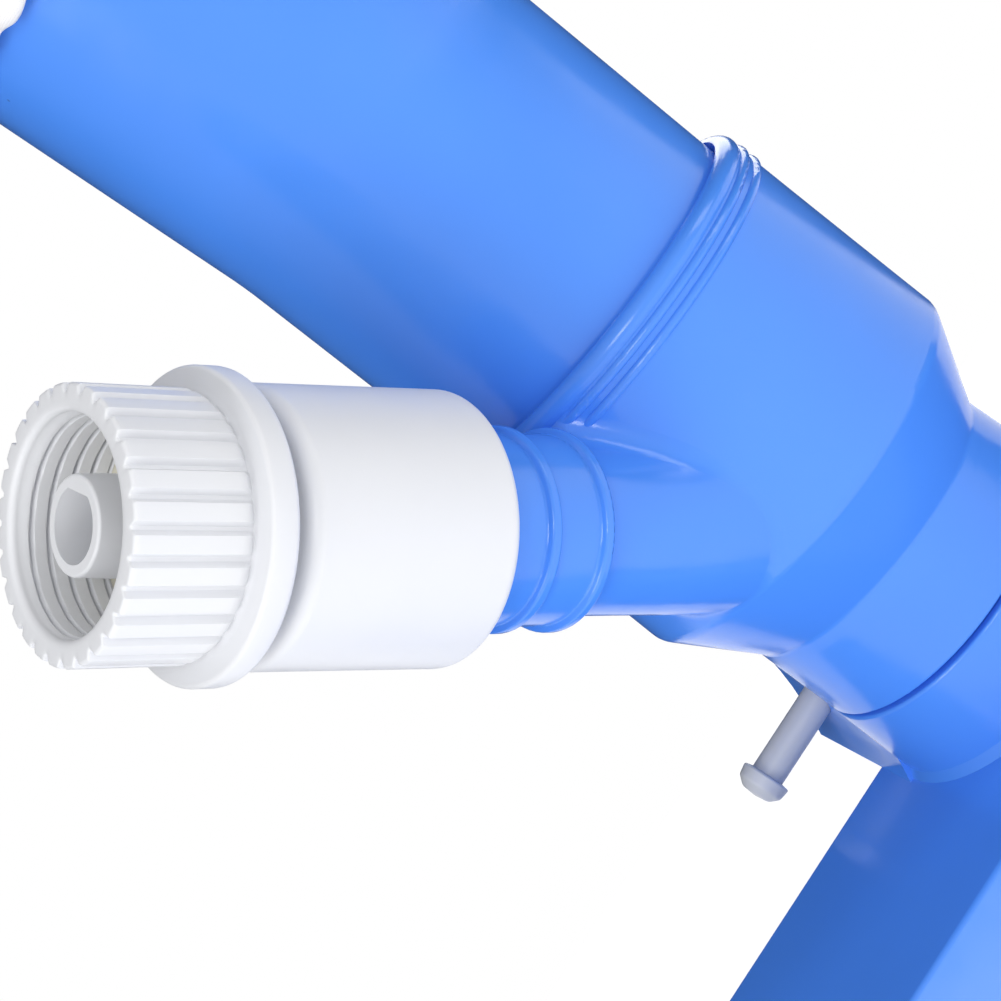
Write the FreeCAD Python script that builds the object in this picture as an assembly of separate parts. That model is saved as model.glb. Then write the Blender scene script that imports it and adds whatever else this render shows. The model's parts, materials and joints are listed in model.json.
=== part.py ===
import FreeCAD, Part
import math
import os

# Manual pool vacuum head worked by a garden hose. Millimetres, +Z up.
# X runs along the head, -Y is its front. The origin is on the floor, under the swivel axis.
# The swivel axis is Z. The neck, the bag tube and the hose inlet all meet at the branch point.

# ---------------------------------------------------------------- driving dimensions
# Head
BRISTLE_TIP_Z = 0.0
FRAME_BOTTOM_Z = 9.0
HOOD_BOTTOM_Z = 16.0
PLATE_Z = 40.0
SEAM_Z = 54.5
HOOD_WALL = 2.6
HOOD_FRONT_Y = -51.0
HOOD_BACK_Y = 27.0
PLATE_FRONT_Y = -34.4
PLATE_BACK_Y = 11.0
HOOD_HALF_LENGTH = 131.0
PLATE_HALF_LENGTH = 114.0
FRAME_MARGIN = 5.5
FRAME_RAIL = 16.0
PLAN_CORNER_R = 15.0

# Swivel between the head and the jet body
COLLAR_R = 23.5
COLLAR_FOOT_R = 24.4
COLLAR_BORE_R = 20.70
SPIGOT_R = 20.64
THROAT_R = 17.8
SPIGOT_END_Z = 30.5
SEAM_GAP = 0.7

# Yoke pin and the block with its two pin bores
BLOCK_BACK_Y = 37.0
BLOCK_TOP_Z = 55.7
BLOCK_FOOT_HALF = 26.0
BLOCK_MID_HALF = 22.3
BLOCK_TOP_HALF = 20.4
TURRET_R = 27.6
TURRET_BORE_R = 24.95
TURRET_LEDGE_Z = 36.0
PIN_Y = 22.8
PIN_Z = 49.3
PIN_R = 2.65
PIN_BORE_R = 2.72
PIN_INNER_X = 15.0
PIN_UNDERHEAD_X = 36.2
PIN_TIP_X = 39.9
PIN_HEAD_R = 3.95

# Branch point and the two leaning axes
BRANCH_Z = 66.2
INLET_LEAN_DEG = 37.84
INLET_HEADING_DEG = 222.82
TUBE_LEAN_DEG = 4.93
TUBE_HEADING_DEG = INLET_HEADING_DEG - 180.0

# Jet body, measured along the tube axis from the branch point
NECK_R = 23.4
NECK_TOP_R = 23.0
CONE_BOTTOM = 2.2
CONE_TOP = 15.3
CONE_TOP_R = 30.25
CONE_BOTTOM_ROUND = 1.5
CONE_TOP_ROUND = 3.0
RIM = 53.1
RIM_BORE_R = 27.8
SOCKET_R = 27.08
BODY_RIM_R = 29.7
BEAD_HEIGHTS = (47.3, 49.4)
BEAD_ROUND = 0.7
LEDGE = 16.3
RING_TOP = 40.3

# Hose inlet, measured along the inlet axis from the branch point
INLET_R = 10.9
INLET_ROOT = 16.0
INLET_ROOT_R = 15.8
INLET_ROOT_SHIFT = 4.7
INLET_ROOT_FILLET = 3.0
INLET_TAPER_END = 58.6
INLET_END_R = 12.1
INLET_BORE_R = 6.0
INLET_BEADS = (59.8, 68.4)
INLET_BEAD_R = 12.95
INLET_END = 98.5
SLEEVE_BACK = 77.0
SLEEVE_FRONT = 106.2
SLEEVE_BACK_R = 17.0
SLEEVE_FRONT_R = 16.6
SLEEVE_BORE_R = 12.16
SLEEVE_WEB = 99.5
NUT_BACK = 108.7
NUT_FLANGE_FRONT = 112.5
NUT_FACE = 127.8
NUT_FLANGE_R = 18.3
NUT_ROOT_R = 14.75
NUT_CREST_R = 15.65
NUT_RIBS = 28
HOSE_THREAD_R = 12.2
NIPPLE_R = 5.7
NIPPLE_BORE_R = 4.35
NIPPLE_END = 126.5
HUB_R = 8.9

# Bag tube and bag, measured along the tube axis from the branch point
TUBE_R = 27.0
TUBE_WALL = 2.0
TUBE_BOTTOM = 40.6
TUBE_FLARE = 90.3
TUBE_TOP = 163.0
TUBE_TOP_R = 32.2
BAG_MOUTH = 133.4
BAG_TOP = 372.0
BAG_CLOTH = 1.2

UP = FreeCAD.Vector(0, 0, 1)
ORIGIN = FreeCAD.Vector(0, 0, 0)


# ---------------------------------------------------------------- helpers
def leaning(lean_deg, heading_deg):
    """Unit vector that leans from +Z towards a heading in the XY plane."""
    lean = math.radians(lean_deg)
    heading = math.radians(heading_deg)
    flat = math.sin(lean)
    return FreeCAD.Vector(flat * math.cos(heading), flat * math.sin(heading), math.cos(lean))


BRANCH = FreeCAD.Vector(0, 0, BRANCH_Z)
TUBE_AXIS = leaning(TUBE_LEAN_DEG, TUBE_HEADING_DEG)
INLET_AXIS = leaning(INLET_LEAN_DEG, INLET_HEADING_DEG)


def moved(shape, axis):
    """A shape built about +Z from z = 0, moved to the branch point along an axis."""
    turned_shape = shape.copy()
    turned_shape.Placement = FreeCAD.Placement(BRANCH, FreeCAD.Rotation(UP, axis))
    return turned_shape


def outline_wire(corners, place):
    """Closed wire through (a, b, round) corners; place(a, b) gives the point in space."""
    points = [place(a, b) for a, b, _ in corners]
    edges = []
    ends = []
    count = len(corners)
    for i in range(count):
        here = points[i]
        radius = corners[i][2]
        if radius <= 0:
            ends.append((here, here))
            continue
        back = (points[i - 1] - here).normalize()
        ahead = (points[(i + 1) % count] - here).normalize()
        half = back.getAngle(ahead) / 2
        reach = radius / math.tan(half)
        start = here + back * reach
        finish = here + ahead * reach
        bisector = (back + ahead).normalize()
        middle = here + bisector * (radius / math.sin(half) - radius)
        edges.append((i, Part.Arc(start, middle, finish).toShape()))
        ends.append((start, finish))
    arcs = dict(edges)
    ordered = []
    for i in range(count):
        if i in arcs:
            ordered.append(arcs[i])
        leave = ends[i][1]
        arrive = ends[(i + 1) % count][0]
        if leave.distanceToPoint(arrive) > 1e-6:
            ordered.append(Part.makeLine(leave, arrive))
    return Part.Wire(ordered)


def turned(*corners):
    """Solid of revolution about Z from (radius, height[, round]) corners."""
    full = [corner if len(corner) == 3 else (*corner, 0) for corner in corners]
    wire = outline_wire(full, lambda r, z: FreeCAD.Vector(r, 0, z))
    solid = Part.Face(wire).revolve(ORIGIN, UP, 360)
    return Part.makeSolid(solid) if solid.ShapeType != "Solid" else solid


def ring(inner, outer, low, high, edge=0.0):
    """Plain ring about Z with its four edges rounded."""
    return turned((inner, low, edge), (outer, low, edge), (outer, high, edge), (inner, high, edge))


def rod(radius, low, high):
    return Part.makeCylinder(radius, high - low, FreeCAD.Vector(0, 0, low))


def along_x(shape, side):
    """Shape built about +Z, laid along +X (side 1) or -X (side -1)."""
    laid = shape.copy()
    laid.rotate(ORIGIN, FreeCAD.Vector(0, 1, 0), 90 * side)
    return laid


def joined(shapes):
    whole = shapes[0]
    for shape in shapes[1:]:
        whole = whole.fuse(shape)
    return whole.removeSplitter()


def rounded_slab(x_half, y_front, y_back, low, high, corner):
    """Slab with a rounded rectangle for its plan."""
    corners = [
        (-x_half, y_front, corner),
        (x_half, y_front, corner),
        (x_half, y_back, corner),
        (-x_half, y_back, corner),
    ]
    wire = outline_wire(corners, lambda x, y: FreeCAD.Vector(x, y, low))
    return Part.Face(wire).extrude(FreeCAD.Vector(0, 0, high - low))


def save(name, shape):
    os.makedirs("parts", exist_ok=True)
    shape.exportStep(os.path.join("parts", name + ".step"))


# ---------------------------------------------------------------- head
def hood_block(inset, low, edge):
    """Hipped block of the hood: its cross-section, its long section and its plan in common."""
    front = HOOD_FRONT_Y + inset
    back = HOOD_BACK_Y - inset
    top = PLATE_Z - inset
    cross = [
        (front, low, 0),
        (PLATE_FRONT_Y + inset * 0.6, top, edge),
        (PLATE_BACK_Y - inset * 0.6, top, edge),
        (back, low, 0),
    ]
    cross_wire = outline_wire(cross, lambda y, z: FreeCAD.Vector(-HOOD_HALF_LENGTH, y, z))
    cross_block = Part.Face(cross_wire).extrude(FreeCAD.Vector(2 * HOOD_HALF_LENGTH, 0, 0))
    half = HOOD_HALF_LENGTH - inset
    plate_half = PLATE_HALF_LENGTH - inset * 0.6
    long_section = [(-half, low, 0), (-plate_half, top, edge), (plate_half, top, edge), (half, low, 0)]
    long_wire = outline_wire(long_section, lambda x, z: FreeCAD.Vector(x, HOOD_FRONT_Y, z))
    long_block = Part.Face(long_wire).extrude(FreeCAD.Vector(0, HOOD_BACK_Y - HOOD_FRONT_Y, 0))
    plan = rounded_slab(half, front, back, low, top, PLAN_CORNER_R - inset)
    return cross_block.common(long_block).common(plan)


def screw_places():
    rail_centre = FRAME_MARGIN + 6.5
    for x in (-104.0, -36.0, 36.0, 104.0):
        for y in (HOOD_FRONT_Y - FRAME_MARGIN + rail_centre, HOOD_BACK_Y + FRAME_MARGIN - rail_centre):
            yield x, y


def pin_block():
    """Block behind the collar, flared towards its foot, with a pin bore in either side."""
    def side(sign):
        foot = FreeCAD.Vector(sign * BLOCK_FOOT_HALF, 0, PLATE_Z)
        middle = FreeCAD.Vector(sign * BLOCK_MID_HALF, 0, PLATE_Z + 8.5)
        top = FreeCAD.Vector(sign * BLOCK_TOP_HALF, 0, BLOCK_TOP_Z)
        return Part.Arc(foot, middle, top).toShape(), foot, top

    left, left_foot, left_top = side(-1)
    right, right_foot, right_top = side(1)
    wire = Part.Wire([left, Part.makeLine(left_top, right_top), right, Part.makeLine(right_foot, left_foot)])
    block = Part.Face(wire).extrude(FreeCAD.Vector(0, BLOCK_BACK_Y, 0))
    upright = [edge for edge in block.Edges if is_block_corner(edge)]
    return block.makeFillet(1.6, upright)


def is_block_corner(edge):
    """The block's rear edges and its two long top edges."""
    box = edge.BoundBox
    at_back = box.YMin > BLOCK_BACK_Y - 0.01
    along_top = box.ZMin > BLOCK_TOP_Z - 0.01 and box.YLength > 1
    return at_back or along_top


def make_head_shell():
    outer = hood_block(0, HOOD_BOTTOM_Z, 1.2).fuse(rod(TURRET_R, HOOD_BOTTOM_Z, PLATE_Z - 0.8))
    inner = hood_block(HOOD_WALL, HOOD_BOTTOM_Z - 1, 1.2)
    shell = outer.cut(inner).cut(rod(TURRET_BORE_R, HOOD_BOTTOM_Z - 1, TURRET_LEDGE_Z))
    ledge = rod(TURRET_R, TURRET_LEDGE_Z, PLATE_Z - 0.8)
    shell = shell.fuse(ledge)
    posts = [Part.makeCylinder(3.6, 12, FreeCAD.Vector(x, y, HOOD_BOTTOM_Z)) for x, y in screw_places()]
    posts = joined(posts).common(outer)
    collar = turned(
        (0, TURRET_LEDGE_Z),
        (COLLAR_FOOT_R, TURRET_LEDGE_Z),
        (COLLAR_FOOT_R, PLATE_Z),
        (COLLAR_R, SEAM_Z, 0.5),
        (0, SEAM_Z),
    )
    foot = turned((0, PLATE_Z - 1), (COLLAR_FOOT_R + 1.6, PLATE_Z - 1), (COLLAR_FOOT_R - 0.15, PLATE_Z + 1.5),
                  (0, PLATE_Z + 1.5))
    whole = joined([shell, posts, collar, foot, pin_block()])
    below = rod(COLLAR_BORE_R, HOOD_BOTTOM_Z, SEAM_Z + 10)
    neck_room = rod(NECK_R + 0.6, SEAM_Z, SEAM_Z + 10)
    pilots = joined([rod(1.35, HOOD_BOTTOM_Z - 1, HOOD_BOTTOM_Z + 10).translated(FreeCAD.Vector(x, y, 0))
                     for x, y in screw_places()])
    whole = whole.cut(below).cut(neck_room).cut(pilots)
    for side in (-1, 1):
        bore = along_x(rod(PIN_BORE_R, PIN_INNER_X - 0.4, 40), side)
        whole = whole.cut(bore.translated(FreeCAD.Vector(0, PIN_Y, PIN_Z)))
    return whole.removeSplitter()


def channel_boxes(clear):
    """The four slots for the bristle strips, each grown by a clearance: name, centre, size."""
    strip = 4.0 + 2 * clear
    inset = 4.6
    front = HOOD_FRONT_Y - FRAME_MARGIN + inset
    back = HOOD_BACK_Y + FRAME_MARGIN - inset
    end = HOOD_HALF_LENGTH + FRAME_MARGIN - inset
    long_size = 2 * (end - 16.0) + 2 * clear
    short_size = back - front - 30.0 + 2 * clear
    middle = (front + back) / 2
    yield "front_bristles", (0.0, front), (long_size, strip)
    yield "back_bristles", (0.0, back), (long_size, strip)
    yield "left_bristles", (-end, middle), (strip, short_size)
    yield "right_bristles", (end, middle), (strip, short_size)


def make_base_frame():
    outer = rounded_slab(HOOD_HALF_LENGTH + FRAME_MARGIN, HOOD_FRONT_Y - FRAME_MARGIN,
                         HOOD_BACK_Y + FRAME_MARGIN, FRAME_BOTTOM_Z, HOOD_BOTTOM_Z, PLAN_CORNER_R + 3)
    inner = rounded_slab(HOOD_HALF_LENGTH + FRAME_MARGIN - FRAME_RAIL,
                         HOOD_FRONT_Y - FRAME_MARGIN + FRAME_RAIL, HOOD_BACK_Y + FRAME_MARGIN - FRAME_RAIL,
                         FRAME_BOTTOM_Z - 1, HOOD_BOTTOM_Z + 1, 6)
    rim_edges = [edge for edge in outer.Edges
                 if edge.BoundBox.ZLength < 0.01 and edge.BoundBox.ZMin > HOOD_BOTTOM_Z - 0.01]
    frame = outer.makeFillet(1.5, rim_edges).cut(inner)
    for _, (x, y), (size_x, size_y) in channel_boxes(0.05):
        corner = FreeCAD.Vector(x - size_x / 2, y - size_y / 2, FRAME_BOTTOM_Z - 1)
        frame = frame.cut(Part.makeBox(size_x, size_y, 5.05, corner))
    for x, y in screw_places():
        place = FreeCAD.Vector(x, y, 0)
        frame = frame.cut(rod(1.7, FRAME_BOTTOM_Z - 1, HOOD_BOTTOM_Z + 1).translated(place))
        frame = frame.cut(rod(3.1, FRAME_BOTTOM_Z - 1, FRAME_BOTTOM_Z + 2.4).translated(place))
    return frame


def make_bristles():
    """Four strips of bristles, each one plain solid from its slot down to the floor."""
    for name, (x, y), (size_x, size_y) in channel_boxes(0.0):
        corner = FreeCAD.Vector(x - size_x / 2, y - size_y / 2, BRISTLE_TIP_Z)
        strip = Part.makeBox(size_x, size_y, FRAME_BOTTOM_Z + 4.0 - BRISTLE_TIP_Z, corner)
        yield name, strip


def make_base_screws():
    """Eight pan-head screws that hold the base frame under the hood."""
    screws = []
    for x, y in screw_places():
        head = turned((0, 0), (2.8, 0, 0.8), (2.8, 1.7), (0, 1.7))
        shank = rod(1.3, 1.7, 13.5)
        slots = [Part.makeBox(3.0, 0.7, 1.0, FreeCAD.Vector(-1.5, -0.35, -0.2)),
                 Part.makeBox(0.7, 3.0, 1.0, FreeCAD.Vector(-0.35, -1.5, -0.2))]
        screw = head.fuse(shank).cut(slots[0]).cut(slots[1])
        screws.append(screw.translated(FreeCAD.Vector(x, y, FRAME_BOTTOM_Z + 0.7)))
    return Part.makeCompound(screws)


def make_yoke_pin():
    """Push-in nylon pin with a mushroom head, lying along X in the block's left side."""
    pin = turned(
        (0, PIN_INNER_X),
        (PIN_R, PIN_INNER_X, 0.7),
        (PIN_R, PIN_UNDERHEAD_X),
        (PIN_HEAD_R, PIN_UNDERHEAD_X + 0.25, 0.35),
        (PIN_HEAD_R - 0.3, PIN_TIP_X - 1.5, 0.9),
        (2.3, PIN_TIP_X - 0.25, 1.5),
        (0, PIN_TIP_X),
    )
    return along_x(pin, -1).translated(FreeCAD.Vector(0, PIN_Y, PIN_Z))


# ---------------------------------------------------------------- jet body
def inlet_root():
    """Fairing where the inlet leaves the body: it grows on the side turned to the socket."""
    towards_socket = (UP * INLET_AXIS.x - FreeCAD.Vector(INLET_AXIS.z, 0, 0)) * -1
    towards_socket = (towards_socket - INLET_AXIS * towards_socket.dot(INLET_AXIS)).normalize()
    wires = []
    count = 6
    for i in range(count):
        share = i / (count - 1)
        grown = (1 + math.cos(math.pi * share)) / 2
        height = INLET_ROOT + (INLET_TAPER_END - INLET_ROOT) * share
        radius = INLET_R + 0.02 + (INLET_ROOT_R - INLET_R) * grown
        centre = BRANCH + INLET_AXIS * height + towards_socket * INLET_ROOT_SHIFT * grown
        wires.append(Part.Wire(Part.Circle(centre, INLET_AXIS, radius).toShape()))
    return Part.makeLoft(wires, True, False)


def root_edges(solid):
    """Edges where the fairing, the only freeform face, meets the body."""
    for edge in solid.Edges:
        sides = [face.Surface.TypeId for face in solid.ancestorsOfType(edge, Part.Face)]
        middle = edge.valueAt((edge.FirstParameter + edge.LastParameter) / 2) - BRANCH
        on_fairing = sides.count("Part::GeomBSplineSurface") == 1
        if on_fairing and edge.Length > 0.5 and middle.dot(INLET_AXIS) < INLET_TAPER_END - 2:
            yield edge


def make_jet_body():
    """Y-shaped body: swivel neck, socket for the bag tube and the hose inlet, as one moulding."""
    neck_face = SEAM_Z + SEAM_GAP
    neck = turned(
        (0, SPIGOT_END_Z),
        (SPIGOT_R, SPIGOT_END_Z, 0.6),
        (SPIGOT_R, SEAM_Z + 0.1),
        (NECK_R - 1.6, SEAM_Z + 0.1),
        (NECK_R - 1.2, neck_face),
        (NECK_R, neck_face, 0.4),
        (NECK_TOP_R, BRANCH_Z),
        (0, BRANCH_Z),
    )
    elbow = Part.makeSphere(NECK_TOP_R, BRANCH)
    body = turned(
        (0, 0),
        (NECK_TOP_R, 0),
        (NECK_TOP_R, CONE_BOTTOM, CONE_BOTTOM_ROUND),
        (CONE_TOP_R, CONE_TOP, CONE_TOP_ROUND),
        (BODY_RIM_R, BEAD_HEIGHTS[0] - 1.4),
        (BODY_RIM_R - 0.1, RIM - 2.6),
        (BODY_RIM_R - 0.35, RIM - 1.2, 1.0),
        (RIM_BORE_R + 0.4, RIM, 0.5),
        (0, RIM),
    )
    beads = [Part.makeTorus(BODY_RIM_R - 0.25, BEAD_ROUND, FreeCAD.Vector(0, 0, t)) for t in BEAD_HEIGHTS]
    band = Part.makeTorus(BODY_RIM_R - 1.55, 1.75, FreeCAD.Vector(0, 0, RIM - 1.75))
    inlet = turned(
        (0, 0),
        (INLET_R, 0),
        (INLET_R, INLET_BEADS[0] - 0.9, 0.3),
        (INLET_BEAD_R, INLET_BEADS[0] - 0.6, 0.5),
        (INLET_BEAD_R, INLET_BEADS[0] + 0.7, 0.5),
        (INLET_END_R, INLET_BEADS[0] + 1.1, 0.3),
        (INLET_END_R, INLET_BEADS[1] - 1.1, 0.3),
        (INLET_BEAD_R, INLET_BEADS[1] - 0.7, 0.5),
        (INLET_BEAD_R, INLET_BEADS[1] + 0.6, 0.5),
        (INLET_END_R, INLET_BEADS[1] + 1.0, 0.3),
        (INLET_END_R, INLET_END, 0.8),
        (0, INLET_END),
    )
    solid = joined([neck, elbow, moved(body, TUBE_AXIS), moved(inlet, INLET_AXIS), inlet_root()])
    solid = solid.makeFillet(INLET_ROOT_FILLET, list(root_edges(solid)))
    solid = joined([solid, moved(band, TUBE_AXIS)] + [moved(bead, TUBE_AXIS) for bead in beads])

    neck_bore = rod(THROAT_R, SPIGOT_END_Z - 1, SEAM_Z + 4)
    neck_taper = Part.makeCone(THROAT_R, 20.3, 5, FreeCAD.Vector(0, 0, SEAM_Z + 4))
    neck_top = rod(20.3, SEAM_Z + 9, BRANCH_Z)
    elbow_bore = Part.makeSphere(20.3, BRANCH)
    body_bore = turned(
        (0, 0),
        (20.3, 0),
        (20.3, CONE_BOTTOM + 1.5, 2.0),
        (25.2, LEDGE - 0.5),
        (25.2, LEDGE),
        (SOCKET_R, LEDGE),
        (SOCKET_R, RIM - 1.2),
        (RIM_BORE_R, RIM),
        (RIM_BORE_R, RIM + 5),
        (0, RIM + 5),
    )
    reach = SOCKET_R / math.sin(math.radians(INLET_LEAN_DEG + TUBE_LEAN_DEG))
    inlet_bore = rod(INLET_BORE_R, reach - 8, INLET_END + 5)
    solid = solid.cut(neck_bore).cut(neck_taper).cut(neck_top).cut(elbow_bore)
    solid = solid.cut(moved(body_bore, TUBE_AXIS)).cut(moved(inlet_bore, INLET_AXIS))

    seal_groove = ring(18.9, SPIGOT_R + 1, 44.0, 46.6)
    clip_groove = ring(19.2, SPIGOT_R + 1, 33.2, 35.6)
    solid = solid.cut(seal_groove).cut(clip_groove)
    for low in INLET_SEALS:
        solid = solid.cut(moved(ring(10.6, INLET_END_R + 1, low, low + 2.4), INLET_AXIS))
    return solid.removeSplitter()


INLET_SEALS = (84.5, 91.5)
RING_SEALS = (LEDGE + 0.9, RING_TOP - 2.1)


def make_swivel_seal():
    return ring(18.92, COLLAR_BORE_R - 0.02, 44.1, 46.5, 0.7)


def make_retaining_ring():
    """Split snap ring in the neck's groove, under the hood's plate."""
    clip = ring(19.25, 24.2, 33.3, 35.5, 0.3)
    return clip.cut(Part.makeBox(30, 5.0, 6, FreeCAD.Vector(0, -2.5, 32)))


def make_jet_ring():
    """Insert that makes the water chamber and aims six jets up the tube."""
    insert = turned(
        (20.2, LEDGE),
        (26.98, LEDGE, 0.3),
        (26.98, LEDGE + 4.0, 0.3),
        (22.8, LEDGE + 4.6, 0.8),
        (22.8, RING_TOP - 4.6, 0.8),
        (26.98, RING_TOP - 4.0, 0.3),
        (26.98, RING_TOP, 0.3),
        (24.2, RING_TOP),
        (19.2, RING_TOP - 7.0, 3.0),
        (19.2, LEDGE + 4.0, 3.0),
    )
    for low in RING_SEALS:
        insert = insert.cut(ring(25.6, 30, low, low + 1.8))
    for i in range(6):
        jet = rod(1.2, -8, 8)
        jet.rotate(ORIGIN, FreeCAD.Vector(0, 1, 0), -32)
        jet.translate(FreeCAD.Vector(21.0, 0, LEDGE + 10.0))
        jet.rotate(ORIGIN, UP, 60 * i + 30)
        insert = insert.cut(jet)
    return moved(insert, TUBE_AXIS)


def make_jet_seal(low):
    return moved(ring(25.62, 27.03, low + 0.05, low + 1.75, 0.5), TUBE_AXIS)


# ---------------------------------------------------------------- hose connection
def make_inlet_seal(low):
    return moved(ring(10.62, SLEEVE_BORE_R - 0.03, low + 0.1, low + 2.3, 0.7), INLET_AXIS)


def make_hose_sleeve():
    """White sleeve pushed over the inlet's end; its front wall holds the spigot."""
    sleeve = turned(
        (SLEEVE_BORE_R, SLEEVE_BACK, 0.6),
        (SLEEVE_BACK_R, SLEEVE_BACK, 1.3),
        (SLEEVE_FRONT_R, SLEEVE_FRONT, 2.0),
        (HUB_R, SLEEVE_FRONT),
        (HUB_R, SLEEVE_WEB),
        (SLEEVE_BORE_R, SLEEVE_WEB),
    )
    return moved(sleeve, INLET_AXIS)


def make_hose_spigot():
    """Tail piece: hub in the sleeve's wall, flange inside the nut and the nipple."""
    spigot = turned(
        (0, SLEEVE_WEB),
        (HUB_R, SLEEVE_WEB),
        (HUB_R, NUT_BACK + 2.3),
        (12.6, NUT_BACK + 2.3, 0.4),
        (12.6, NUT_BACK + 4.6, 0.4),
        (NIPPLE_R + 0.3, NUT_BACK + 4.6),
        (NIPPLE_R, NIPPLE_END, 0.4),
        (0, NIPPLE_END),
    )
    bore = rod(NIPPLE_BORE_R, SLEEVE_WEB - 1, NIPPLE_END + 1)
    key_flat = Part.makeBox(3, 10, 40, FreeCAD.Vector(3.75, -5, SLEEVE_WEB - 1))
    return moved(spigot.cut(bore.cut(key_flat)), INLET_AXIS)


def make_hose_washer():
    return moved(ring(6.1, 12.05, NUT_BACK + 4.7, NUT_BACK + 7.5, 0.4), INLET_AXIS)


def make_hose_nut():
    """Swivel nut: ribbed grip, flange at the back and a bore for a garden hose thread."""
    blank = turned(
        (0, NUT_BACK),
        (NUT_FLANGE_R, NUT_BACK, 0.8),
        (NUT_FLANGE_R, NUT_FLANGE_FRONT, 1.4),
        (NUT_ROOT_R, NUT_FLANGE_FRONT, 0.5),
        (NUT_ROOT_R - 0.1, NUT_FACE, 0.5),
        (0, NUT_FACE),
    )
    width = 2 * math.pi * NUT_CREST_R / NUT_RIBS * 0.62
    rib = Part.makeBox(2.4, width, NUT_FACE - NUT_FLANGE_FRONT - 0.6,
                       FreeCAD.Vector(NUT_CREST_R - 2.4, -width / 2, NUT_FLANGE_FRONT - 0.5))
    long_edges = [edge for edge in rib.Edges if edge.BoundBox.ZLength > 5 and edge.BoundBox.XMin > NUT_CREST_R - 1]
    rib = rib.makeFillet(0.35, long_edges)
    ribs = []
    for i in range(NUT_RIBS):
        tooth = rib.copy()
        tooth.rotate(ORIGIN, UP, 360 / NUT_RIBS * i)
        ribs.append(tooth)
    nut = blank.multiFuse(ribs)
    room = turned(
        (0, NUT_BACK - 1),
        (HUB_R + 0.08, NUT_BACK - 1),
        (HUB_R + 0.08, NUT_BACK + 2.1),
        (13.0, NUT_BACK + 2.1),
        (13.0, NUT_BACK + 6.5),
        (HOSE_THREAD_R, NUT_BACK + 7.2),
        (HOSE_THREAD_R, NUT_FACE - 0.7),
        (HOSE_THREAD_R + 0.9, NUT_FACE + 0.2),
        (HOSE_THREAD_R + 0.9, NUT_FACE + 3),
        (0, NUT_FACE + 3),
    )
    return moved(nut.cut(room).removeSplitter(), INLET_AXIS)


# ---------------------------------------------------------------- bag tube and bag
def make_bag_tube():
    """Tube pushed into the body's socket; it flares towards the bag."""
    tube = turned(
        (TUBE_R - TUBE_WALL, TUBE_BOTTOM, 0.4),
        (TUBE_R, TUBE_BOTTOM, 0.8),
        (TUBE_R, TUBE_FLARE, 60.0),
        (TUBE_TOP_R, TUBE_TOP, 0.9),
        (TUBE_TOP_R - TUBE_WALL, TUBE_TOP, 0.9),
        (TUBE_R - TUBE_WALL, TUBE_FLARE, 60.0),
    )
    tube = tube.cut(ring(25.9, 30, TUBE_BOTTOM + 4.0, TUBE_BOTTOM + 5.8))
    return moved(tube, TUBE_AXIS)


def make_tube_seal():
    return moved(ring(25.92, 27.04, TUBE_BOTTOM + 4.05, TUBE_BOTTOM + 5.75, 0.4), TUBE_AXIS)


BAG_SECTIONS = (
    # height along the tube axis, half width, half depth
    (BAG_MOUTH + 4, 32.6, 32.6),
    (BAG_MOUTH + 12, 33.3, 33.3),
    (BAG_MOUTH + 21, 34.2, 34.2),
    (BAG_MOUTH + 30, 36.2, 36.0),
    (BAG_MOUTH + 44, 43.5, 41.0),
    (BAG_MOUTH + 66, 56.0, 48.0),
    (BAG_MOUTH + 100, 69.0, 53.0),
    (BAG_MOUTH + 145, 76.0, 49.0),
    (BAG_MOUTH + 190, 78.0, 32.0),
    (BAG_TOP - 14, 79.0, 13.0),
    (BAG_TOP, 79.5, 5.0),
)


def bag_loft(inset, low_extra, top_inset):
    """Smooth pouch through oval sections, each smaller by the inset."""
    wires = []
    last = len(BAG_SECTIONS) - 1
    for i, (height, half_width, half_depth) in enumerate(BAG_SECTIONS):
        if i == 0:
            height -= low_extra
        if i == last:
            height -= top_inset
        oval = Part.Ellipse(FreeCAD.Vector(0, 0, height), half_width - inset, half_depth - inset) \
            if half_width - half_depth > 1e-6 else Part.Circle(FreeCAD.Vector(0, 0, height), UP, half_width - inset)
        wires.append(Part.Wire(oval.toShape()))
    return Part.makeLoft(wires, True, False)


def make_filter_bag():
    """Mesh bag as a closed pouch with an open mouth around the tube's end."""
    outer = bag_loft(0, 0, 0)
    inner = bag_loft(BAG_CLOTH, 0.5, 3.0)
    return moved(outer.cut(inner), TUBE_AXIS)


def make_bag_elastic():
    """Elastic hem that grips the tube below the bag's mouth."""
    return moved(ring(30.95, 33.4, BAG_MOUTH, BAG_MOUTH + 3.9, 0.8), TUBE_AXIS)


# ---------------------------------------------------------------- files
def main():
    save("head_shell", make_head_shell())
    save("base_frame", make_base_frame())
    for name, strip in make_bristles():
        save(name, strip)
    save("base_screws", make_base_screws())
    save("yoke_pin", make_yoke_pin())

    save("jet_body", make_jet_body())
    save("swivel_seal", make_swivel_seal())
    save("neck_retaining_ring", make_retaining_ring())
    save("jet_ring", make_jet_ring())
    save("jet_ring_lower_seal", make_jet_seal(RING_SEALS[0]))
    save("jet_ring_upper_seal", make_jet_seal(RING_SEALS[1]))

    save("inlet_inner_seal", make_inlet_seal(INLET_SEALS[0]))
    save("inlet_outer_seal", make_inlet_seal(INLET_SEALS[1]))
    save("hose_sleeve", make_hose_sleeve())
    save("hose_spigot", make_hose_spigot())
    save("hose_washer", make_hose_washer())
    save("hose_nut", make_hose_nut())

    save("bag_tube", make_bag_tube())
    save("bag_tube_seal", make_tube_seal())
    save("filter_bag", make_filter_bag())
    save("bag_elastic", make_bag_elastic())


main()
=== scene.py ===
import json
import math
import random

import bmesh
import bpy
from mathutils import Matrix, Vector, noise


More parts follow.
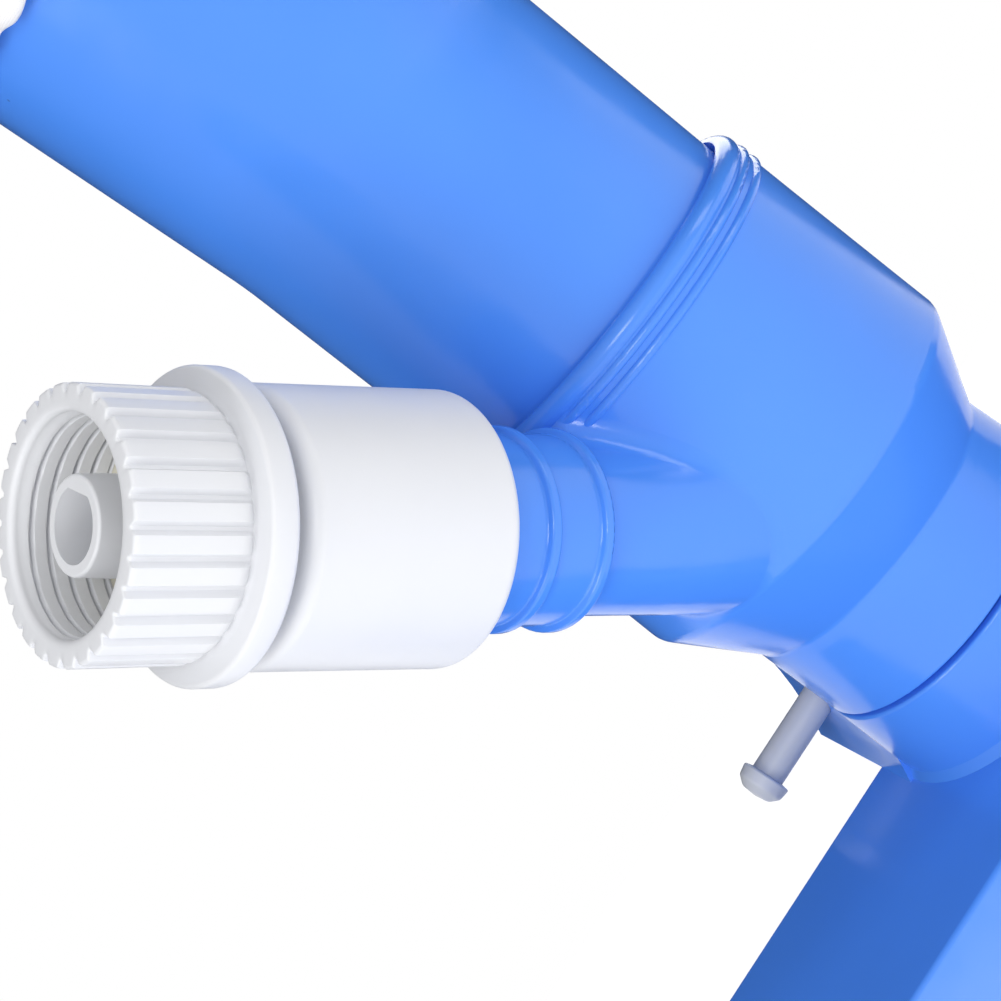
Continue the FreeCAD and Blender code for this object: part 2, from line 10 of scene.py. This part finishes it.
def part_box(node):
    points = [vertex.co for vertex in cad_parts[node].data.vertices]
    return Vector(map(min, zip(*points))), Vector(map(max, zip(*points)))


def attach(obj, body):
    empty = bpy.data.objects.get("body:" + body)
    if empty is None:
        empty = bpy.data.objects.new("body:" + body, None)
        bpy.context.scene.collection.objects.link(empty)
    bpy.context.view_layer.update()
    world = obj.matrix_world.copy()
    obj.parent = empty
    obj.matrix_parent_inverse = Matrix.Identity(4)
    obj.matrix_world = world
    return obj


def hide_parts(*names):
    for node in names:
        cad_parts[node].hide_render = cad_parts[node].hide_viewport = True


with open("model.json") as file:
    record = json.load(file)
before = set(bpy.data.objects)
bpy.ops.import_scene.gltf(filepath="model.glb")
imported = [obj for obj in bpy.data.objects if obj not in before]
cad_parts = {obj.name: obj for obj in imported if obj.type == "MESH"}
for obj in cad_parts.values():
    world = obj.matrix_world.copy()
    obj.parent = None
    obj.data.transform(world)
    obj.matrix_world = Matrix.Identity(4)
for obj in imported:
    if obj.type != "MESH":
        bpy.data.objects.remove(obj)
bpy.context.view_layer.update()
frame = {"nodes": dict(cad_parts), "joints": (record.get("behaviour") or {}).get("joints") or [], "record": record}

# ---------------------------------------------------------------- places from the frame
MM = 0.001
JOINTS = {joint["name"]: joint for joint in frame["joints"]}
SEAM = Vector(JOINTS["body_swivel"]["pos_m"])
TUBE_AXIS = Vector(JOINTS["tube_pull"]["axis"]).normalized()
INLET_AXIS = Vector(JOINTS["nut_spin"]["axis"]).normalized()
NUT_BACK = Vector(JOINTS["nut_spin"]["pos_m"])
# The inlet axis and the swivel axis meet at the branch point.
NUT_REACH = math.hypot(NUT_BACK.x, NUT_BACK.y) / math.hypot(INLET_AXIS.x, INLET_AXIS.y)
BRANCH = NUT_BACK - INLET_AXIS * NUT_REACH
UP = Vector((0, 0, 1))


def axis_frame(origin, axis):
    """Matrix that takes +Z to an axis through a point."""
    return Matrix.Translation(origin) @ UP.rotation_difference(axis).to_matrix().to_4x4()


NUT_FRAME = axis_frame(NUT_BACK, INLET_AXIS)
TUBE_FRAME = axis_frame(BRANCH, TUBE_AXIS)


# ---------------------------------------------------------------- materials
def new_material(name):
    material = bpy.data.materials.new(name)
    material.use_nodes = True
    tree = material.node_tree
    return material, tree, tree.nodes["Principled BSDF"]


def noise_node(tree, scale, detail=4.0, roughness=0.5):
    coordinates = tree.nodes.new("ShaderNodeTexCoord")
    node = tree.nodes.new("ShaderNodeTexNoise")
    node.inputs["Scale"].default_value = scale
    node.inputs["Detail"].default_value = detail
    node.inputs["Roughness"].default_value = roughness
    tree.links.new(coordinates.outputs["Object"], node.inputs["Vector"])
    return node


def ramp_node(tree, source, stops):
    ramp = tree.nodes.new("ShaderNodeValToRGB")
    elements = ramp.color_ramp.elements
    while len(elements) < len(stops):
        elements.new(0.5)
    for element, (place, colour) in zip(elements, stops):
        element.position = place
        element.color = (*colour, 1.0)
    tree.links.new(source, ramp.inputs["Fac"])
    return ramp


def range_node(tree, source, low, high, start=0.3, end=0.7):
    node = tree.nodes.new("ShaderNodeMapRange")
    node.inputs["From Min"].default_value = start
    node.inputs["From Max"].default_value = end
    node.inputs["To Min"].default_value = low
    node.inputs["To Max"].default_value = high
    tree.links.new(source, node.inputs["Value"])
    return node


def add_bump(tree, shader, source, strength, distance, before=None):
    bump = tree.nodes.new("ShaderNodeBump")
    bump.inputs["Strength"].default_value = strength
    bump.inputs["Distance"].default_value = distance
    tree.links.new(source, bump.inputs["Height"])
    if before is not None:
        tree.links.new(before.outputs["Normal"], bump.inputs["Normal"])
    tree.links.new(bump.outputs["Normal"], shader.inputs["Normal"])
    return bump


def add_specks(tree, shader, ramp):
    """Base colour from a ramp, with a few tiny dark specks of dirt, far apart."""
    coordinates = tree.nodes.new("ShaderNodeTexCoord")
    cells = tree.nodes.new("ShaderNodeTexVoronoi")
    cells.inputs["Scale"].default_value = 55.0
    tree.links.new(coordinates.outputs["Object"], cells.inputs["Vector"])
    spot = range_node(tree, cells.outputs["Distance"], 0.7, 0.0, 0.012, 0.022)
    mix = tree.nodes.new("ShaderNodeMix")
    mix.data_type = "RGBA"
    tree.links.new(spot.outputs["Result"], mix.inputs["Factor"])
    tree.links.new(ramp.outputs["Color"], mix.inputs["A"])
    mix.inputs["B"].default_value = (0.05, 0.055, 0.08, 1.0)
    tree.links.new(mix.outputs["Result"], shader.inputs["Base Color"])


def moulded_plastic(name, colour, spread, rough, wave, subsurface=0.0):
    """Injection-moulded plastic: faint flow marks, uneven gloss, orange peel, fine grain and specks."""
    material, tree, shader = new_material(name)
    flow = noise_node(tree, 22.0, 3.0)
    dark = tuple(channel * (1 - spread) for channel in colour)
    light = tuple(min(1.0, channel * (1 + spread)) for channel in colour)
    ramp = ramp_node(tree, flow.outputs["Fac"], [(0.3, dark), (0.7, light)])
    add_specks(tree, shader, ramp)
    gloss = noise_node(tree, 160.0, 5.0, 0.6)
    roughness = range_node(tree, gloss.outputs["Fac"], rough[0], rough[1])
    tree.links.new(roughness.outputs["Result"], shader.inputs["Roughness"])
    peel = noise_node(tree, 90.0, 2.0)
    first = add_bump(tree, shader, peel.outputs["Fac"], wave, 0.0004)
    grain = noise_node(tree, 2600.0, 3.0)
    add_bump(tree, shader, grain.outputs["Fac"], 0.05, 0.00005, first)
    shader.inputs["IOR"].default_value = 1.49
    if subsurface:
        shader.inputs["Subsurface Weight"].default_value = subsurface
        shader.inputs["Subsurface Radius"].default_value = (1.0, 1.0, 1.0)
        shader.inputs["Subsurface Scale"].default_value = 0.002
    return material


def rubber(name, colour):
    material, tree, shader = new_material(name)
    mottle = noise_node(tree, 300.0, 4.0)
    dark = tuple(channel * 0.7 for channel in colour)
    ramp = ramp_node(tree, mottle.outputs["Fac"], [(0.3, dark), (0.7, colour)])
    tree.links.new(ramp.outputs["Color"], shader.inputs["Base Color"])
    roughness = range_node(tree, mottle.outputs["Fac"], 0.45, 0.62)
    tree.links.new(roughness.outputs["Result"], shader.inputs["Roughness"])
    add_bump(tree, shader, mottle.outputs["Fac"], 0.15, 0.0001)
    return material


def steel(name):
    material, tree, shader = new_material(name)
    grain = noise_node(tree, 1500.0, 6.0, 0.7)
    shader.inputs["Metallic"].default_value = 1.0
    greys = [(0.3, (0.42, 0.42, 0.43)), (0.7, (0.62, 0.62, 0.63))]
    ramp = ramp_node(tree, grain.outputs["Fac"], greys)
    tree.links.new(ramp.outputs["Color"], shader.inputs["Base Color"])
    roughness = range_node(tree, grain.outputs["Fac"], 0.22, 0.42)
    tree.links.new(roughness.outputs["Result"], shader.inputs["Roughness"])
    add_bump(tree, shader, grain.outputs["Fac"], 0.1, 0.00004)
    return material


def fibre(name):
    """Nylon bristle: slightly translucent, each tuft a little different."""
    material, tree, shader = new_material(name)
    tone = noise_node(tree, 400.0, 2.0)
    tones = [(0.3, (0.55, 0.58, 0.62)), (0.7, (0.82, 0.84, 0.86))]
    ramp = ramp_node(tree, tone.outputs["Fac"], tones)
    tree.links.new(ramp.outputs["Color"], shader.inputs["Base Color"])
    shader.inputs["Roughness"].default_value = 0.38
    shader.inputs["Subsurface Weight"].default_value = 0.25
    shader.inputs["Subsurface Radius"].default_value = (1.0, 1.0, 1.0)
    shader.inputs["Subsurface Scale"].default_value = 0.0008
    return material


def woven(name, colour, pitch, strength, holes=0.0):
    """Plain weave from two crossed thread waves on the cloth's UVs, in metres; holes opens it to a mesh."""
    material, tree, shader = new_material(name)
    links = tree.links
    uv = tree.nodes.new("ShaderNodeUVMap")
    split = tree.nodes.new("ShaderNodeSeparateXYZ")
    links.new(uv.outputs["UV"], split.inputs["Vector"])
    waves = []
    for axis in ("X", "Y"):
        scaled = tree.nodes.new("ShaderNodeMath")
        scaled.operation = "MULTIPLY"
        scaled.inputs[1].default_value = 2 * math.pi / pitch
        links.new(split.outputs[axis], scaled.inputs[0])
        wave = tree.nodes.new("ShaderNodeMath")
        wave.operation = "SINE"
        links.new(scaled.outputs[0], wave.inputs[0])
        size = tree.nodes.new("ShaderNodeMath")
        size.operation = "ABSOLUTE"
        links.new(wave.outputs[0], size.inputs[0])
        waves.append(size)
    thread = tree.nodes.new("ShaderNodeMath")
    thread.operation = "MAXIMUM"
    links.new(waves[0].outputs[0], thread.inputs[0])
    links.new(waves[1].outputs[0], thread.inputs[1])
    soil = noise_node(tree, 60.0, 4.0)
    dark = tuple(channel * 0.9 for channel in colour)
    ramp = ramp_node(tree, soil.outputs["Fac"], [(0.3, dark), (0.7, colour)])
    links.new(ramp.outputs["Color"], shader.inputs["Base Color"])
    shader.inputs["Roughness"].default_value = 0.75
    shader.inputs["Sheen Weight"].default_value = 0.3
    shader.inputs["Sheen Roughness"].default_value = 0.4
    add_bump(tree, shader, thread.outputs[0], strength, pitch * 0.3)
    if holes:
        open_part = range_node(tree, thread.outputs[0], 1.0 - holes, 1.0, 0.3, 0.55)
        links.new(open_part.outputs["Result"], shader.inputs["Alpha"])
    return material


MATERIALS = {
    "blue_plastic": moulded_plastic("blue_plastic", (0.072, 0.262, 0.86), 0.04, (0.14, 0.24), 0.10),
    "frame_plastic": moulded_plastic("frame_plastic", (0.055, 0.22, 0.74), 0.05, (0.24, 0.36), 0.12),
    "white_plastic": moulded_plastic("white_plastic", (0.745, 0.755, 0.785), 0.02, (0.34, 0.46), 0.14),
    "natural_nylon": moulded_plastic("natural_nylon", (0.56, 0.58, 0.63), 0.03, (0.32, 0.45), 0.2, 0.4),
    "seal_rubber": rubber("seal_rubber", (0.03, 0.03, 0.032)),
    "washer_rubber": rubber("washer_rubber", (0.80, 0.77, 0.64)),
    "screw_steel": steel("screw_steel"),
    "bristle_fibre": fibre("bristle_fibre"),
    "bag_mesh": woven("bag_mesh", (0.90, 0.90, 0.91), 0.0011, 0.5, 0.45),
    "elastic_webbing": woven("elastic_webbing", (0.92, 0.91, 0.92), 0.0006, 0.35),
}


def paint(piece, slot_name):
    """Gives a piece its slot's material."""
    piece.data.materials.clear()
    piece.data.materials.append(MATERIALS[slot_name])


# ---------------------------------------------------------------- mesh helpers
SHARP_ANGLE = math.radians(38)


def add_piece(name, mesh_builder, body, slot_name, replaced=(), smooth=True):
    """Object from a bmesh function, painted, riding on a body and standing for CAD nodes."""
    mesh = bpy.data.meshes.new(name)
    built = bmesh.new()
    mesh_builder(built)
    bmesh.ops.recalc_face_normals(built, faces=built.faces)
    built.to_mesh(mesh)
    built.free()
    if smooth:
        for polygon in mesh.polygons:
            polygon.use_smooth = True
        mesh.set_sharp_from_angle(angle=SHARP_ANGLE)
    piece = bpy.data.objects.new(name, mesh)
    bpy.context.scene.collection.objects.link(piece)
    paint(piece, slot_name)
    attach(piece, body)
    if replaced:
        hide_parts(*replaced)
    return piece


def grid_faces(built, rows, back_to_first=False):
    """Quads between rows of vertices, each a closed ring; the last row can be joined to the first."""
    count = len(rows)
    last = count if back_to_first else count - 1
    for i in range(last):
        lower = rows[i]
        upper = rows[(i + 1) % count]
        size = len(lower)
        for j in range(size):
            k = (j + 1) % size
            built.faces.new((lower[j], lower[k], upper[k], upper[j]))


def smoothstep(low, high, value):
    share = min(1.0, max(0.0, (value - low) / (high - low)))
    return share * share * (3 - 2 * share)


# ---------------------------------------------------------------- CAD nodes keep their shape
def dress_cad_nodes():
    """Each node that stays gets its slot's material."""
    slots = {part["node"]: part["material_slot"] for part in frame["record"]["subparts"]}
    for node_name, piece in frame["nodes"].items():
        paint(piece, slots[node_name])


# ---------------------------------------------------------------- swivel nut
NUT_RIBS = 28
NUT_LENGTH = 19.1 * MM
NUT_FLANGE_FRONT = 3.8 * MM
NUT_FLANGE_R = 18.3 * MM
NUT_ROOT_R = 14.75 * MM
NUT_CREST_R = 15.65 * MM
NUT_LIP_R = 12.5 * MM
THREAD_MINOR_R = 12.2 * MM
THREAD_MAJOR_R = 12.95 * MM
THREAD_PITCH = 2.209 * MM
THREAD_START = 7.0 * MM
THREAD_END = 18.2 * MM
NUT_HUB_R = 8.98 * MM
NUT_WALL = 2.1 * MM
NUT_STEPS = NUT_RIBS * 14
RIB_ROWS = 25
THREAD_ROWS = 96


def rib_height(angle):
    """0 in a groove to 1 on a rib's rounded crest."""
    phase = (angle * NUT_RIBS / (2 * math.pi)) % 1.0
    across = abs(phase - 0.5) * 2
    return 1.0 - smoothstep(0.55, 0.90, across)


def thread_depth(angle, height):
    """0 on the thread's crest to 1 at its root."""
    turn = (height - THREAD_START) / THREAD_PITCH - angle / (2 * math.pi)
    phase = abs(turn % 1.0 - 0.5) * 2
    return smoothstep(0.66, 0.92, phase)


def quarter_round(kind, centre_r, centre_z, radius, first, last, start, steps):
    """Profile points on an arc round a centre, between two multiples of a quarter turn."""
    points = []
    for i in range(start, steps + 1):
        turn = math.pi / 2 * (first + (last - first) * i / steps)
        points.append((kind, centre_r + radius * math.cos(turn), centre_z + radius * math.sin(turn)))
    return points


def nut_profile():
    """Kind, radius and height of each ring, from the hub's back round the outside to the hub's front."""
    flange_back = 0.9 * MM
    flange_front = 0.6 * MM
    face = 0.5 * MM
    mouth = 0.8 * MM
    profile = [("plain", NUT_HUB_R, 0.3 * MM), ("plain", NUT_HUB_R + 0.3 * MM, 0.0)]
    profile.append(("plain", NUT_FLANGE_R - 1.0 * MM, 0.0))
    profile += quarter_round("plain", NUT_FLANGE_R - flange_back, flange_back, flange_back, -1, 0, 1, 5)
    profile += quarter_round("plain", NUT_FLANGE_R - flange_front, NUT_FLANGE_FRONT - flange_front,
                             flange_front, 0, 1, 0, 5)
    profile.append(("plain", NUT_CREST_R + 0.25 * MM, NUT_FLANGE_FRONT))
    profile.append(("plain", NUT_ROOT_R + 0.35 * MM, NUT_FLANGE_FRONT + 0.1 * MM))
    rib_start = NUT_FLANGE_FRONT + 0.25 * MM
    rib_length = NUT_LENGTH - NUT_FLANGE_FRONT - 0.75 * MM
    for i in range(RIB_ROWS + 1):
        profile.append(("rib", NUT_ROOT_R, rib_start + rib_length * i / RIB_ROWS))
    profile += quarter_round("rib_end", NUT_ROOT_R - face, NUT_LENGTH - face, face, 0, 1, 1, 5)
    profile.append(("plain", NUT_LIP_R + 1.0 * MM, NUT_LENGTH))
    profile += quarter_round("plain", NUT_LIP_R + mouth, NUT_LENGTH - mouth, mouth, 1, 2, 1, 6)
    for i in range(THREAD_ROWS + 1):
        height = THREAD_END - (THREAD_END - THREAD_START) * i / THREAD_ROWS
        profile.append(("thread", THREAD_MINOR_R, height))
    profile += [("plain", 12.9 * MM, THREAD_START - 0.4 * MM), ("plain", 13.0 * MM, NUT_WALL + 0.2 * MM),
                ("plain", 12.8 * MM, NUT_WALL), ("plain", NUT_HUB_R + 0.3 * MM, NUT_WALL),
                ("plain", NUT_HUB_R, NUT_WALL - 0.3 * MM)]
    return profile


def nut_radius(kind, radius, height, angle):
    """Radius of a profile point at an angle, with the ribs or the thread added."""
    rib = NUT_CREST_R - NUT_ROOT_R
    if kind == "rib":
        start = smoothstep(NUT_FLANGE_FRONT + 0.2 * MM, NUT_FLANGE_FRONT + 1.3 * MM, height)
        return radius + rib * rib_height(angle) * (0.15 + 0.85 * start)
    if kind == "rib_end":
        return radius + rib * rib_height(angle)
    if kind == "thread":
        inner_fade = smoothstep(THREAD_START, THREAD_START + 1.2 * MM, height)
        outer_fade = 1 - smoothstep(THREAD_END - 1.6 * MM, THREAD_END, height)
        depth = thread_depth(angle, height) * inner_fade
        depth = depth * outer_fade + (1 - outer_fade) * 0.4
        return THREAD_MINOR_R + (THREAD_MAJOR_R - THREAD_MINOR_R) * depth
    return radius


def build_nut(built):
    """Ribbed nut with a flange, a rolled lip and an internal thread."""
    rings = []
    for kind, radius, height in nut_profile():
        ring = []
        for j in range(NUT_STEPS):
            angle = 2 * math.pi * j / NUT_STEPS
            reach = nut_radius(kind, radius, height, angle)
            ring.append(built.verts.new((reach * math.cos(angle), reach * math.sin(angle), height)))
        rings.append(ring)
    grid_faces(built, rings, back_to_first=True)
    bmesh.ops.transform(built, matrix=NUT_FRAME, verts=built.verts)


# ---------------------------------------------------------------- bristles
TUFT_PITCH = 3.1 * MM
BRISTLES_PER_TUFT = 14
BRISTLE_R = 0.16 * MM
BRISTLE_LENGTH = 8.4 * MM
BRISTLE_SEED = 11
GOLDEN_ANGLE = 2.399963


def build_bristles(node_name, seed):
    """Rows of round tufts on a backing strip, from the CAD strip's own box."""
    low, high = (Vector(corner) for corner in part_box(node_name))
    size = high - low
    along = 0 if size.x > size.y else 1
    across = 1 - along
    draw = random.Random(seed)
    backing_low = low.z + BRISTLE_LENGTH

    def build(built):
        block = bmesh.ops.create_cube(built, size=1.0)["verts"]
        middle = Vector(((low.x + high.x) / 2, (low.y + high.y) / 2, (backing_low + high.z) / 2))
        stretch = Matrix.Diagonal((size.x, size.y, high.z - backing_low, 1.0))
        bmesh.ops.transform(built, matrix=Matrix.Translation(middle) @ stretch, verts=block)
        edges = list({edge for vert in block for edge in vert.link_edges})
        bmesh.ops.bevel(built, geom=edges, offset=0.35 * MM, segments=2, affect="EDGES")
        count = int((size[along] - 3 * MM) / TUFT_PITCH)
        for row in (-1, 1):
            for i in range(count + 1):
                shift = (i - count / 2) * TUFT_PITCH + row * 0.25 * TUFT_PITCH
                root = middle.copy()
                root[along] += shift
                root[across] += row * 0.95 * MM
                root.z = backing_low + 0.3 * MM
                add_tuft(built, root, low.z, draw)

    return build


def add_tuft(built, root, tip_z, draw):
    """Bristles in a sunflower pattern, opening a little towards their tips."""
    for i in range(BRISTLES_PER_TUFT):
        angle = GOLDEN_ANGLE * i
        spread = math.sqrt((i + 0.5) / BRISTLES_PER_TUFT)
        start = root + Vector((math.cos(angle), math.sin(angle), 0)) * (0.62 * MM * spread)
        reach = start + Vector((math.cos(angle), math.sin(angle), 0)) * (0.30 * MM * spread)
        reach.x += draw.uniform(-0.22, 0.22) * MM
        reach.y += draw.uniform(-0.16, 0.16) * MM
        reach.z = tip_z + draw.uniform(0.0, 0.35) * MM
        add_bristle(built, start, reach, draw)


def add_bristle(built, start, tip, draw):
    """One slightly bent fibre with a narrower tip."""
    bend = Vector((draw.uniform(-0.12, 0.12), draw.uniform(-0.1, 0.1), 0)) * MM
    middle = start.lerp(tip, 0.55) + bend
    rings = []
    for place, radius in ((start, BRISTLE_R), (middle, BRISTLE_R), (tip, BRISTLE_R * 0.75)):
        ring = []
        for j in range(5):
            angle = 2 * math.pi * j / 5
            ring.append(built.verts.new(place + Vector((math.cos(angle), math.sin(angle), 0)) * radius))
        rings.append(ring)
    grid_faces(built, rings)
    built.faces.new(rings[0])
    built.faces.new(rings[-1])


# ---------------------------------------------------------------- bag
BAG_MOUTH = 133.4 * MM
BAG_TOP = 372.0 * MM
TUBE_END = 163.0 * MM


# Height along the tube's axis, half width and half depth of the filled bag, in millimetres.
BAG_SECTIONS = (
    (137.4, 32.6, 32.6), (145.4, 33.3, 33.3), (154.4, 34.2, 34.2), (163.4, 36.2, 36.0),
    (177.4, 43.5, 41.0), (199.4, 56.0, 48.0), (233.4, 69.0, 53.0), (278.4, 76.0, 49.0),
    (323.4, 78.0, 32.0), (352.0, 79.0, 15.0), (363.0, 79.3, 5.0), (366.0, 79.5, 1.2),
    (372.0, 79.5, 1.0),
)
BAG_STEPS = 360
BAG_ROWS = 150
HEM_STEPS = 600
HEM_ROWS = 20
HEM_R = 32.1


def bag_section(height):
    """Half width and half depth of the filled bag at a height along the tube's axis."""
    level = height / MM
    for (z0, w0, d0), (z1, w1, d1) in zip(BAG_SECTIONS, BAG_SECTIONS[1:]):
        if level <= z1:
            share = max(0.0, (level - z0) / (z1 - z0))
            return (w0 + (w1 - w0) * share) * MM, (d0 + (d1 - d0) * share) * MM
    return BAG_SECTIONS[-1][1] * MM, BAG_SECTIONS[-1][2] * MM


def lay_uv(built, layer, radius):
    """UVs in metres: round the axis at a mean radius, and along it."""
    for face in built.faces:
        for loop in face.loops:
            place = loop.vert.co
            loop[layer].uv = (math.atan2(place.y, place.x) * radius, place.z)


def build_bag(built):
    """Filled mesh pouch: pleats above the hem, long creases and swells, and a flat seam at the top."""
    low = BAG_MOUTH + 1.5 * MM
    rings = []
    layer = built.loops.layers.uv.new("UVMap")
    for i in range(BAG_ROWS + 1):
        height = low + (BAG_TOP - 1 * MM - low) * i / BAG_ROWS
        half_width, half_depth = bag_section(height)
        pleat = 1 - smoothstep(TUBE_END, TUBE_END + 55 * MM, height)
        crease = smoothstep(TUBE_END, TUBE_END + 60 * MM, height)
        ring = []
        for j in range(BAG_STEPS):
            angle = 2 * math.pi * j / BAG_STEPS
            wrinkle = noise.noise(Vector((math.cos(angle) * 3.5, math.sin(angle) * 3.5, height * 26)))
            fold = 0.35 * math.sin(angle * 44 + 3 * wrinkle) * pleat
            runs = noise.noise(Vector((math.cos(angle) * 9.0, math.sin(angle) * 9.0, height * 7)))
            ridge = 1.0 - min(1.0, abs(runs) * 5.0)
            flat_top = 1 - smoothstep(BAG_TOP - 60 * MM, BAG_TOP - 14 * MM, height)
            seam = flat_top * (1 - smoothstep(0.0, 0.12, abs(math.sin(angle))))
            swell = (wrinkle * 2.6 - ridge * 1.3) * crease * flat_top
            out = (fold + swell - seam * 1.0 - 0.9) * MM
            ring.append(built.verts.new(((half_width + out) * math.cos(angle),
                                         (half_depth + out) * math.sin(angle), height)))
        rings.append(ring)
    grid_faces(built, rings)
    built.faces.new(rings[-1])
    lay_uv(built, layer, 0.05)
    bmesh.ops.transform(built, matrix=TUBE_FRAME, verts=built.verts)


def build_hem(built):
    """Gathered elastic hem: a soft ring with a scalloped rim and many small pleats."""
    layer = built.loops.layers.uv.new("UVMap")
    rings = []
    for i in range(HEM_ROWS):
        turn = 2 * math.pi * i / HEM_ROWS
        ring = []
        for j in range(HEM_STEPS):
            angle = 2 * math.pi * j / HEM_STEPS
            wave = noise.noise(Vector((math.cos(angle) * 6, math.sin(angle) * 6, 1.7)))
            pleat = math.sin(angle * 38 + 4.0 * wave)
            radius = (HEM_R + (0.95 + 0.28 * pleat) * math.cos(turn)) * MM
            height = BAG_MOUTH + (2.0 + (1.8 + 0.35 * pleat) * math.sin(turn) + 0.4 * wave) * MM
            ring.append(built.verts.new((radius * math.cos(angle), radius * math.sin(angle), height)))
        rings.append(ring)
    grid_faces(built, rings, back_to_first=True)
    lay_uv(built, layer, 0.032)
    bmesh.ops.transform(built, matrix=TUBE_FRAME, verts=built.verts)


# ---------------------------------------------------------------- floor, light and camera
FLOOR_HALF = 0.9
FLOOR_BACK = 0.17
BRIGHT_SIDE = (-0.22, -0.94, 0.26)
LENS_MM = 86.3
CAMERA_FROM_SEAM_MM = (-41.46, -316.26, 141.24)
CAMERA_RIGHT = (0.553, -0.234, -0.800)
CAMERA_BACK = (-0.048, -0.967, 0.250)


def build_stage():
    """Pale glowing floor that ends a little behind the object, where the white world takes over."""
    mesh = bpy.data.meshes.new("floor")
    corners = [(-FLOOR_HALF, -FLOOR_HALF, 0), (FLOOR_HALF, -FLOOR_HALF, 0),
               (FLOOR_HALF, FLOOR_BACK, 0), (-FLOOR_HALF, FLOOR_BACK, 0)]
    mesh.from_pydata(corners, [], [(0, 1, 2, 3)])
    floor = bpy.data.objects.new("floor", mesh)
    bpy.context.scene.collection.objects.link(floor)
    material, tree, shader = new_material("floor_paper")
    paper = noise_node(tree, 8.0, 2.0)
    greys = [(0.3, (0.90, 0.90, 0.90)), (0.7, (0.92, 0.92, 0.92))]
    ramp = ramp_node(tree, paper.outputs["Fac"], greys)
    tree.links.new(ramp.outputs["Color"], shader.inputs["Base Color"])
    shader.inputs["Roughness"].default_value = 0.9
    shader.inputs["Emission Color"].default_value = (1.0, 1.0, 1.0, 1.0)
    shader.inputs["Emission Strength"].default_value = 0.62
    floor.data.materials.append(material)
    build_world()


def build_world():
    """White to the camera; for light and reflections bright in front and dim behind the object."""
    world = bpy.data.worlds.new("studio")
    world.use_nodes = True
    tree = world.node_tree
    background = tree.nodes["Background"]
    background.inputs["Color"].default_value = (1.0, 1.0, 1.0, 1.0)
    coordinates = tree.nodes.new("ShaderNodeTexCoord")
    towards = tree.nodes.new("ShaderNodeVectorMath")
    towards.operation = "DOT_PRODUCT"
    towards.inputs[1].default_value = BRIGHT_SIDE
    tree.links.new(coordinates.outputs["Generated"], towards.inputs[0])
    light = range_node(tree, towards.outputs["Value"], 0.03, 0.88, -0.25, 0.80)
    path = tree.nodes.new("ShaderNodeLightPath")
    seen = tree.nodes.new("ShaderNodeMix")
    tree.links.new(path.outputs["Is Camera Ray"], seen.inputs["Factor"])
    tree.links.new(light.outputs["Result"], seen.inputs["A"])
    seen.inputs["B"].default_value = 1.0
    tree.links.new(seen.outputs["Result"], background.inputs["Strength"])
    bpy.context.scene.world = world


def add_area(name, place, target, size, power):
    """Rectangular soft light at a place, facing a target."""
    light = bpy.data.lights.new(name, "AREA")
    light.shape = "RECTANGLE"
    light.size = size[0]
    light.size_y = size[1]
    light.energy = power
    lamp = bpy.data.objects.new(name, light)
    lamp.location = place
    lamp.rotation_mode = "QUATERNION"
    lamp.rotation_quaternion = (Vector(target) - Vector(place)).to_track_quat("-Z", "Y")
    bpy.context.scene.collection.objects.link(lamp)


def build_camera():
    """Close view from the front, rolled so that the tube runs down to the right."""
    data = bpy.data.cameras.new("camera")
    data.sensor_width = 36.0
    data.lens = LENS_MM
    data.clip_start = 0.01
    data.clip_end = 50.0
    camera = bpy.data.objects.new("camera", data)
    right = Vector(CAMERA_RIGHT).normalized()
    back = Vector(CAMERA_BACK).normalized()
    up = back.cross(right).normalized()
    right = up.cross(back)
    turn = Matrix((right, up, back)).transposed().to_4x4()
    camera.matrix_world = Matrix.Translation(SEAM + Vector(CAMERA_FROM_SEAM_MM) * MM) @ turn
    bpy.context.scene.collection.objects.link(camera)
    bpy.context.scene.camera = camera


# ---------------------------------------------------------------- scene
dress_cad_nodes()
add_piece("swivel_nut", build_nut, "hose_nut", "white_plastic", ["hose_nut"])
for index, side in enumerate(("front", "back", "left", "right")):
    strip = side + "_bristles"
    tufts = build_bristles(strip, BRISTLE_SEED + index)
    add_piece(side + "_brush", tufts, "head", "bristle_fibre", [strip], smooth=False)
bag = add_piece("mesh_bag", build_bag, "filter_bag", "bag_mesh", ["filter_bag"])
hem = add_piece("elastic_hem", build_hem, "filter_bag", "elastic_webbing", ["bag_elastic"])
cloth = bag.modifiers.new("cloth_thickness", "SOLIDIFY")
cloth.thickness = 0.35 * MM

build_stage()
add_area("left", (-1.4, -1.0, 0.7), (0, 0, 0.12), (0.7, 0.7), 8.0)
add_area("key", (-0.2, -1.6, 0.95), (0, 0, 0.12), (0.5, 0.5), 5.5)
add_area("side", (1.5, -0.5, 0.55), (0, 0, 0.12), (0.5, 0.9), 4.0)
add_area("back", (0.9, 1.6, 0.35), (0, 0, 0.2), (1.0, 0.7), 6.0)
build_camera()
bpy.context.scene.view_settings.view_transform = "Standard"
